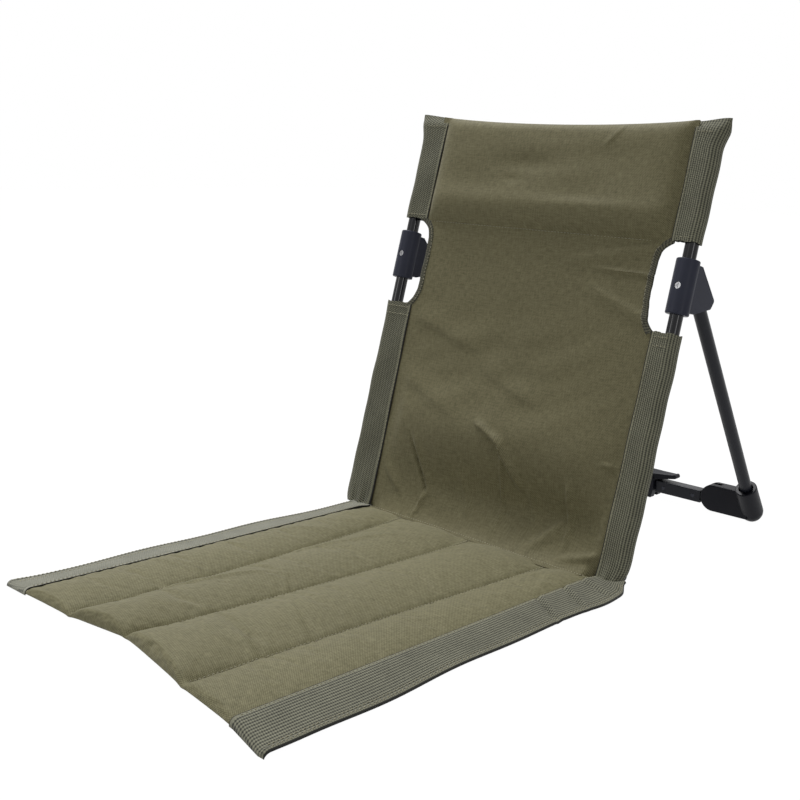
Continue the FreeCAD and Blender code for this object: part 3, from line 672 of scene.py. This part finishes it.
def stitch_row(name, line, normals, body, squashed, radius=0.00040, pitch=STITCH_PITCH,
               length=STITCH_LENGTH):
    """Running stitch along a line of points: each stitch is a spindle that bows over the cloth.
    Squashed is how the cloth that it is sewn through gathers, or None; here it only gives the row a
    mesh of its own."""
    reach = np.concatenate([[0], np.cumsum(np.linalg.norm(np.diff(line, axis=0), axis=1))])
    starts = np.arange(0.4 * pitch, reach[-1] - length, pitch)
    rings, around = 5, 6
    share = np.linspace(0, 1, rings)
    spots = (starts[:, None] + share[None, :] * length).ravel()
    place = np.stack([np.interp(spots, reach, line[:, k]) for k in range(3)], -1)
    upward = np.stack([np.interp(spots, reach, normals[:, k]) for k in range(3)], -1)
    upward /= np.linalg.norm(upward, axis=-1, keepdims=True)
    ahead = np.stack([np.interp(spots + 0.0004, reach, line[:, k]) -
                      np.interp(spots - 0.0004, reach, line[:, k]) for k in range(3)], -1)
    ahead /= np.linalg.norm(ahead, axis=-1, keepdims=True) + 1e-12
    aside = np.cross(ahead, upward)
    bow = np.tile(np.sin(math.pi * share), len(starts))[:, None]
    centre = place + upward * radius * (1.3 * bow - 0.7)
    girth = radius * (0.45 + 0.55 * bow)
    angle = np.linspace(0, 2 * math.pi, around, endpoint=False)
    ring = (centre[:, None, :] + girth[:, None, :] * (np.cos(angle)[None, :, None] * aside[:, None, :] +
                                                      np.sin(angle)[None, :, None] * upward[:, None, :]))
    count = len(starts)
    vertex = np.arange(count * rings * around).reshape(count, rings, around)
    beside = np.roll(vertex, -1, axis=2)
    quads = np.stack([vertex[:, :-1], vertex[:, 1:], beside[:, 1:], beside[:, :-1]], -1).reshape(-1, 4)
    caps = np.concatenate([vertex[:, 0, :], vertex[:, -1, ::-1]])
    mesh = bpy.data.meshes.new(name)
    mesh.from_pydata(ring.reshape(-1, 3).tolist(), [], quads.tolist() + caps.tolist())
    mesh.polygons.foreach_set("use_smooth", np.ones(len(mesh.polygons), bool))
    piece = bpy.data.objects.new(name, mesh)
    bpy.context.scene.collection.objects.link(piece)
    mesh.materials.append(olive_thread)
    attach(piece, body)
    if squashed:
        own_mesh(piece)
    return piece


def back_line(points, lift, count=200):
    """Points along a broken line on the back, given as x, height, in metres, lifted to the front."""
    points = np.array(points)
    reach = np.concatenate([[0], np.cumsum(np.linalg.norm(np.diff(points, axis=0), axis=1))])
    spots = np.linspace(0, reach[-1], count)
    x, t = np.interp(spots, reach, points[:, 0]), np.interp(spots, reach, points[:, 1])
    line = on_back(x, lift, t)
    return line, np.broadcast_to(AHEAD_OF_BACK, line.shape)


sleeve_face = FRONT_LAYER - SLEEVE_WALL / 2 - 0.0001
for side, word in ((1, "left"), (-1, "right")):
    low_top = LOWER_TOP[word]
    tack_in = [side * (e + 0.0018) for e in SLEEVE_EDGES[side]]
    tack_out = side * (TUBE_X + 0.004)
    runs = {
        "lower_seam": [(tack_in[0], 0.010), (tack_in[1], low_top - 0.006)],
        "lower_tack": [(tack_in[1], low_top - 0.005), (tack_out, low_top - 0.005)],
        "lower_tack_under": [(tack_in[1], low_top - 0.014), (tack_out, low_top - 0.014)],
        "upper_seam": [(tack_in[2], SEAM_HEIGHT + 0.006), (tack_in[3], BACK_TOP - 0.006)],
        "upper_tack": [(tack_in[2], SEAM_HEIGHT + 0.005), (tack_out, SEAM_HEIGHT + 0.005)],
        "upper_tack_over": [(tack_in[3], BACK_TOP - 0.0125), (tack_out, BACK_TOP - 0.0125)],
    }
    for run, points in runs.items():
        line, normals = back_line(points, sleeve_face)
        stitch_row("stitch_%s_%s" % (run, word), line, normals, word + "_frame", None)

# ---- head pocket ----
# Two layers of the same cloth sewn shut at the seam, with a thin foam sheet between them, so the
# front puffs out just above the seam and along the top edge.
POCKET_EDGE = SLEEVE_INNER + 0.002
PILLOW_RISE = 0.0082
rows, cols = 76, 150
share = np.linspace(0, 1, rows)[:, None]
x = np.linspace(-POCKET_EDGE, POCKET_EDGE + 0.005, cols)[None, :]
top = BACK_TOP - 0.0010 - 0.0068 * np.clip(1 - (x / 0.165) ** 2, 0, 1) ** 0.8
height = SEAM_HEIGHT - 0.0008 + share * (top - SEAM_HEIGHT + 0.0008)
x = np.broadcast_to(x, height.shape)
rise = (height - SEAM_HEIGHT)
side_ease = np.clip(np.where(x > 0, 0.1650 - x, 0.1553 + x), 0, 1)
side_ease = 1 - np.exp(-side_ease / 0.008)
top_ease = 1 - np.exp(-np.clip(top - height, 0, 1) / 0.0050)
puff = (1 - np.exp(-np.clip(rise, 0, 1) / 0.0075)) * top_ease * side_ease
pillow = PILLOW_RISE * puff * (1 + 0.50 * hump(height, 0.368, 0.018))
# Each dent or swell: across, height, half its width and height, and its lift, in millimetres.
for x0, t0, wide, tall, lift in (
        (-25, 413, 34, 10, -2.6), (-40, 395, 14, 5, -1.0), (35, 402, 30, 12, 1.2), (-110, 420, 30, 16, 0.8),
        (80, 424, 34, 12, -0.9), (110, 392, 30, 14, 0.9), (40, 380, 60, 7, -0.8), (70, 371, 60, 6, 0.9),
        (-90, 384, 40, 12, -0.8), (0, 446, 60, 8, -0.8)):
    pillow = pillow + lift * mm * puff * hump(x, x0 * mm, wide * mm) * hump(height, t0 * mm, tall * mm)
pillow = pillow + puff * fold(x, height, (0.074, 0.438), (0.090, 0.458), 0.004, 0.0011)
front_grid = on_back(x, PANEL_DEPTH - CLOTH_WALL - pillow, height)
rear_grid = on_back(x, PANEL_DEPTH + CLOTH_WALL + 0.0016 * puff, height)
flat = np.stack([x, height], -1)
head_pocket = show("head_pocket", shell("head_pocket", front_grid, rear_grid, flat),
                   back_cloth)
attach(head_pocket, "left_frame")
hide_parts("head_panel", "head_pocket_rear")
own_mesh(head_pocket)

line, normals = back_line([(-0.1535, SEAM_HEIGHT - 0.0012), (0.160, SEAM_HEIGHT - 0.0012)],
                          PANEL_DEPTH - 0.0006, 400)
stitch_row("stitch_head_seam", line, normals, "left_frame", SQUASH, radius=0.00022)
x = np.linspace(-0.146, 0.160, 400)
height = 0.0022 - lowered(x) * math.exp(-0.55)
line = on_back(x, PANEL_DEPTH + back_depth(x, height) - CLOTH_WALL / 2, height)
stitch_row("stitch_seat_seam", line, np.broadcast_to(AHEAD_OF_BACK, line.shape), "left_frame",
           SQUASH, radius=0.00040, pitch=0.0034, length=0.0024)
for side, word in ((1, "left"), (-1, "right")):
    run = np.linspace(CUT_LOW[side] + 0.004, SEAM_HEIGHT - 0.006, 60)
    edge = open_edge(side, run) - 0.0056
    depth = PANEL_DEPTH + back_depth(side * edge, run) - TAPE_HALF_THICK - 0.0002
    line = on_back(side * edge, depth, run)
    front = np.broadcast_to(AHEAD_OF_BACK, line.shape)
    stitch_row("stitch_tape_" + word, line, front, "left_frame", SQUASH)

# ---- seat pad ----
# Oxford cloth over four lengthwise foam strips, sewn down between them. The cloth is cut a little
# loose, so it puffs over the foam and puckers along the seams. It lies flat on the ground.
seat_low, seat_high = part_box("seat_base")
SEAT_REAR, SEAT_FRONT = seat_high.y, seat_low.y
SEAT_LENGTH = SEAT_REAR - SEAT_FRONT
PAD_EDGE = seat_high.x + 0.0005
SEAMS = (-0.095, -0.008, 0.097)
SEAM_TOP = 0.0044
PAD_RISE = 0.0056
REAR_TOP = 0.0034
FRONT_ROUND = 0.0078
SEAT_LINES = np.array((-0.1900, -PAD_EDGE, *SEAMS, PAD_EDGE, 0.1960))
SHIFTED_REAR = (0.0170, 0.0110, 0.0020, 0.0190, 0.0190, 0.0070, 0.0060)
SHIFTED_MIDDLE = (-0.0040, -0.0048, 0.0027, 0.0010, -0.0050, -0.0010, -0.0010)
SHIFTED_FRONT = (-0.0200, -0.0225, -0.0120, -0.0260, -0.0250, -0.0125, -0.0050)
FRONT_BACKED = (0.0150, 0.0150, 0.0155, 0.0250, 0.0040, -0.0075, -0.0190)
seat_cloth = oxford_cloth("olive_oxford_seat", "8d8868", "4c4930", 8.0)


def lie(x, y, z):
    """Where a point of the flat-drawn seat lies: each lengthwise line of the loose seat has its own
    shift at the rear, middle and front, joined by a parabola, and its front edge steps back."""
    x, y, z = np.broadcast_arrays(x, y, z)
    ahead = np.clip((SEAT_REAR - y) / SEAT_LENGTH, 0, 1.02)
    rear, middle, front = (np.interp(x, SEAT_LINES, shifts)
                           for shifts in (SHIFTED_REAR, SHIFTED_MIDDLE, SHIFTED_FRONT))
    shift = (rear * (1 - ahead) * (1 - 2 * ahead) + middle * 4 * ahead * (1 - ahead) +
             front * ahead * (2 * ahead - 1))
    back = np.interp(x, SEAT_LINES, FRONT_BACKED) * ahead ** 1.5
    return np.stack([x + shift, y + back, z], -1)


def seam_distance(x):
    """Distance to the nearest sewn line or pad edge."""
    lines = np.array((-PAD_EDGE, *SEAMS, PAD_EDGE))
    return np.abs(x[..., None] - lines).min(-1) + 1e-6


def pad_crown(x, y):
    """Height of the strips' crown between the seams, lower to the rear, thicker at the front."""
    away = seam_distance(x)
    plump = smooth(-0.13, -0.07, x) * (1 - smooth(0.080, 0.115, x))
    thicker = 1 + 0.60 * (1 - smooth(SEAT_FRONT + 0.01, SEAT_FRONT + 0.09, y)) * plump
    thicker = thicker - 0.25 * (1 - plump) * (1 - smooth(SEAT_FRONT, SEAT_FRONT + 0.05, y))
    crown = SEAM_TOP + PAD_RISE * thicker * (1 - np.exp(-away / 0.010))
    return REAR_TOP + (crown - REAR_TOP) * smooth(0.002, 0.050, SEAT_REAR - y)


line_x = np.array((-PAD_EDGE, *SEAMS, PAD_EDGE))
pieces_x = [np.linspace(a, b, max(3, int(round((b - a) / 0.0048))), endpoint=False)
            for a, b in zip(line_x[:-1], line_x[1:])]
pad_x = np.concatenate(pieces_x + [[PAD_EDGE]])
front_turn = np.radians((-62, -38, -14, 8, 28, 46, 62, 77, 90))
front_y = SEAT_FRONT + FRONT_ROUND * (1 - np.cos(front_turn))
pad_y = np.concatenate([front_y, np.linspace(SEAT_FRONT + 0.0125, SEAT_REAR - 0.0040, 90),
                        SEAT_REAR - np.array((0.0020, 0.0008, 0.0))])
turned = np.concatenate([front_turn, np.full(len(pad_y) - len(front_turn), math.pi / 2)])
x, y = np.meshgrid(pad_x, pad_y)
crown = pad_crown(x, np.maximum(y, SEAT_FRONT + FRONT_ROUND))
belly = 0.42 * crown
lifted = np.sin(turned)[:, None]
z = np.where(lifted > 0, belly + (crown - belly) * lifted, belly + (belly - 0.0007) * lifted / 0.883)
z = np.where(y > SEAT_REAR - 0.0006, 0.0012, z)
top_grid = np.stack([x, y, z], -1)
under_y = np.maximum.accumulate(pad_y) + 0.0001 * np.arange(len(pad_y)) * (pad_y < pad_y[0] + 1e-6)
base_grid = np.stack([x, np.broadcast_to(under_y[:, None], x.shape), np.full_like(x, 0.0004)], -1)
flat = np.stack([x, y + 0.004 * np.minimum(lifted, 0)], -1)
pad_mesh = shell("seat_pad", top_grid, base_grid, flat)


def blow_up(mesh, held, pressure, cap, frames=20):
    """Cloth simulation of a closed shell with held points fixed; no point moves past the cap."""
    pad = bpy.data.objects.new("pad_in_work", mesh)
    bpy.context.scene.collection.objects.link(pad)
    group = pad.vertex_groups.new(name="held")
    for weight in (1.0, 0.35):
        group.add(np.flatnonzero(held == weight).tolist(), weight, "REPLACE")
    cloth = pad.modifiers.new("cloth", "CLOTH")
    fabric = cloth.settings
    fabric.quality = 6
    fabric.mass = 0.25
    fabric.vertex_group_mass = "held"
    fabric.tension_stiffness = fabric.compression_stiffness = 12
    fabric.shear_stiffness = 6
    fabric.bending_stiffness = 0.15
    fabric.use_pressure = True
    fabric.uniform_pressure_force = pressure
    fabric.shrink_min = -0.006
    fabric.effector_weights.gravity = 0
    cloth.collision_settings.use_collision = False
    cloth.point_cache.frame_start, cloth.point_cache.frame_end = 1, frames
    for step in range(1, frames + 1):
        bpy.context.scene.frame_set(step)
    settled = pad.evaluated_get(bpy.context.evaluated_depsgraph_get()).to_mesh()
    start = np.zeros(len(mesh.vertices) * 3, np.float32)
    mesh.vertices.foreach_get("co", start)
    end = np.zeros(len(settled.vertices) * 3, np.float32)
    settled.vertices.foreach_get("co", end)
    start, end = start.reshape(-1, 3), end.reshape(-1, 3)
    move = end - start
    far = np.linalg.norm(move, axis=1, keepdims=True)
    move *= np.minimum(1, cap / np.maximum(far, 1e-9))
    bpy.context.scene.frame_set(1)
    bpy.data.objects.remove(pad)
    return start + move


count = top_grid.shape[0] * top_grid.shape[1]
edge_zone = (x > PAD_EDGE - 1e-5) | (x < -PAD_EDGE + 1e-5)
edge_zone |= (lifted < -0.2) | (y > SEAT_REAR - 0.0030)
soft_zone = seam_distance(x) < 1e-5
held = np.where(edge_zone | soft_zone, 1.0, 0.0)
held = np.concatenate([held.ravel(), np.ones(count)])
points = np.concatenate([top_grid.reshape(-1, 3), base_grid.reshape(-1, 3)])
points = blow_up(pad_mesh, held, pressure=4.0, cap=0.006).astype(float)
top_points = points[:count].reshape(top_grid.shape)


def refine(grid):
    """Twice as many rows and columns, by a cubic through the neighbours, so folds stay smooth."""
    for axis in (0, 1):
        g = np.moveaxis(grid, axis, 0)
        before = np.concatenate([g[:1], g[:-2]])
        after = np.concatenate([g[2:], g[-1:]])
        halfway = (9 * (g[:-1] + g[1:]) - before - after) / 16
        out = np.empty((2 * len(g) - 1,) + g.shape[1:])
        out[0::2], out[1::2] = g, halfway
        grid = np.moveaxis(out, 0, axis)
    return grid


top_points = refine(top_points)
x, y, z = top_points[..., 0], top_points[..., 1], top_points[..., 2]
groove = np.abs(x[..., None] - np.array(SEAMS)).min(-1)
inside = smooth(0.003, 0.012, y - SEAT_FRONT) * smooth(0.010, 0.050, SEAT_REAR - y)
z = z - 0.0014 * np.exp(-(groove / 0.0020) ** 2) * inside
pucker = np.sin(y * 520 + 3 * np.sin(y * 71)) * 0.6 + np.sin(y * 830 + x * 40) * 0.4
z = z + 0.00028 * pucker * np.exp(-groove / 0.006) * smooth(0.0008, 0.004, groove) * inside
# Each crease: where it starts and ends on the flat seat, its width and its lift, in millimetres.
for x0, y0, x1, y1, width, lift in (
        (-62, -28, -90, -112, 5, 2.4), (-60, -196, -96, -276, 5, 2.6), (-30, -176, -8, -194, 4, -1.2),
        (22, -214, 94, -242, 4, -1.5), (62, -290, 100, -297, 3, -1.9), (102, -295, 144, -286, 3, -1.7),
        (66, -300, 110, -306, 4, 1.0), (30, 40, 90, 26, 9, 1.0), (-140, -70, -100, -40, 12, 1.0),
        (120, 40, 150, -20, 10, 1.2), (-150, -240, -104, -226, 10, 1.0), (-90, -300, -40, -322, 8, 1.4),
        (0, -300, 40, -318, 9, 1.2)):
    z = z + inside * fold(x, y, (x0 * mm, y0 * mm), (x1 * mm, y1 * mm), width * mm, lift * mm)
z = np.maximum(z, 0.0006)
flat = refine(np.concatenate([flat, np.zeros(flat.shape[:2] + (1,))], -1))[..., :2]
pad_top = lie(x, y, z)
under = refine(np.stack([base_grid[..., 1]] * 3, -1))[..., 0]
pad_base = lie(flat[..., 0], under, 0.0003)
bpy.data.meshes.remove(pad_mesh)
seat_pad = show("seat_pad", shell("seat_pad", pad_top, pad_base, flat), seat_cloth)
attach(seat_pad, "seat")
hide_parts("seat_cover", "seat_base", "seat_foam_1", "seat_foam_2", "seat_foam_3", "seat_foam_4")
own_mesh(seat_pad)

for number, seam in enumerate(SEAMS, 1):
    column = int(np.argmin(np.abs(flat[0, :, 0] - seam)))
    line = pad_top[14:-6, column]
    normals = np.broadcast_to(np.array([0.0, 0.0, 1.0]), line.shape)
    stitch_row("stitch_channel_%d" % number, line + np.array([0, 0, 0.0006]), normals, "seat",
               SEAT_SQUASH, radius=0.00055)

# ---- seat webbing ----
# The same webbing laid along both sides of the seat and turned under, so the outer edge is a fold
# with its dark underside just clear of the ground. It waves where the seat meets the back.
SEAT_WEBBING_TOP = {1: 0.0074, -1: 0.0070}
SEAT_WEBBING_THICK = 0.0023
WEBBING_OVERLAP = 0.0045
CORNER_LIFT = 0.0040
REAR_CREASES = ((0.056, 0.074, -2.6), (0.096, 0.114, -2.8), (0.026, 0.034, -1.6))


def side_webbing(name, side, node, body, width):
    """Two layers of webbing; the top one has its ribs, narrow creases and a rolled outer edge."""
    rows, cols = 220, 110
    step = np.array((0, 0.0004, 0.0011, 0.0022, 0.0036, 0.0052))
    run = np.concatenate([SEAT_FRONT + step, np.linspace(SEAT_FRONT + 0.007, SEAT_REAR + 0.0030, rows)])
    run = run[:, None]
    share = np.linspace(0, 1, cols)[None, :]
    inner = PAD_EDGE - WEBBING_OVERLAP
    away = share * width
    wave = 0.0006 * np.sin(run * 47 + side) * share + 0.0010 * np.sin(run * 23 + 1.5 * side) * share
    bulge = 0.0030 * hump(run, SEAT_REAR - 0.052, 0.026) - 0.0100 * hump(run, SEAT_REAR + 0.003, 0.014)
    x = inner + away + wave + (bulge if side > 0 else 0) * share
    rib = RIB_HEIGHT * np.cos(2 * math.pi * away / RIB_PITCH) * smooth(0.002, 0.004, away)
    rib = rib * (1 - smooth(width - 0.008, width - 0.006, away))
    edge_top = SEAT_WEBBING_TOP[side]
    top = edge_top - (edge_top - 0.0040) * smooth(0.0, 0.9, share) + 0.0008 * hump(share, 0.93, 0.045)
    top = top + 0.0006 * np.sin(run * 38 + 2 * side) * share
    top = top + 0.0016 * hump(run, SEAT_FRONT, 0.02) * share ** 3
    if side > 0:
        for start, end, deep in REAR_CREASES:
            line = ((inner + 0.004, SEAT_REAR - start), (inner + width - 0.006, SEAT_REAR - end))
            top = top + fold(x, run, *line, 0.0032, deep * mm)
            beside = tuple((px, py + 0.0062) for px, py in line)
            top = top + fold(x, run, *beside, 0.0045, -0.55 * deep * mm)
    front = np.clip((run - SEAT_FRONT) / 0.0062, 0, 1)
    top = 0.0016 + (top - 0.0016) * np.sqrt(1 - (1 - front) ** 2)
    top = top - 0.0022 * smooth(SEAT_REAR - 0.020, SEAT_REAR, run) * (1 - share)
    if side > 0:
        end = smooth(SEAT_REAR - 0.014, SEAT_REAR + 0.003, run)
        top = top + CORNER_LIFT * end * smooth(0.35, 1.0, share)
    fold_over = np.sqrt(np.clip(1 - np.clip((share - 0.965) / 0.035, 0, 1) ** 2, 0, 1))
    thick = SEAT_WEBBING_THICK * fold_over + 0.0003
    upper = top + rib * fold_over * front - 0.0012 * (1 - fold_over)
    lower = np.maximum(top - thick - 0.0012 * (1 - fold_over), 0.0005)
    flat = np.stack(np.broadcast_arrays(away, run), -1)
    front_grid = lie(side * x, run, upper)
    rear_grid = lie(side * x, run, lower)
    if side < 0:
        front_grid, rear_grid, flat = front_grid[:, ::-1], rear_grid[:, ::-1], flat[:, ::-1]
    piece = show(name, shell(name, front_grid, rear_grid, flat), seat_webbing[side])
    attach(piece, body)
    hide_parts(node)
    for label, spot in (("inner", 0.0018), ("outer", width - 0.0075), ("hem", width - 0.0028)):
        line_y = np.linspace(SEAT_FRONT + 0.007, SEAT_REAR - 0.004, 260)
        column = int(round(spot / width * (cols - 1)))
        grid = front_grid if side > 0 else front_grid[:, ::-1]
        track = grid[:, column]
        line = np.stack([np.interp(line_y, run[:, 0], track[:, k]) for k in range(3)], -1)
        normals = np.broadcast_to(np.array([0.0, 0.0, 1.0]), line.shape)
        stitch_row("stitch_seat_%s_%s" % (label, "left" if side > 0 else "right"), line, normals, body,
                   None, radius=0.00048)
    return piece


side_webbing("seat_side_left", 1, "seat_webbing_left", "seat", SEAT_WEBBING_WIDTH[1])
side_webbing("seat_side_right", -1, "seat_webbing_right", "seat_edge", SEAT_WEBBING_WIDTH[-1])
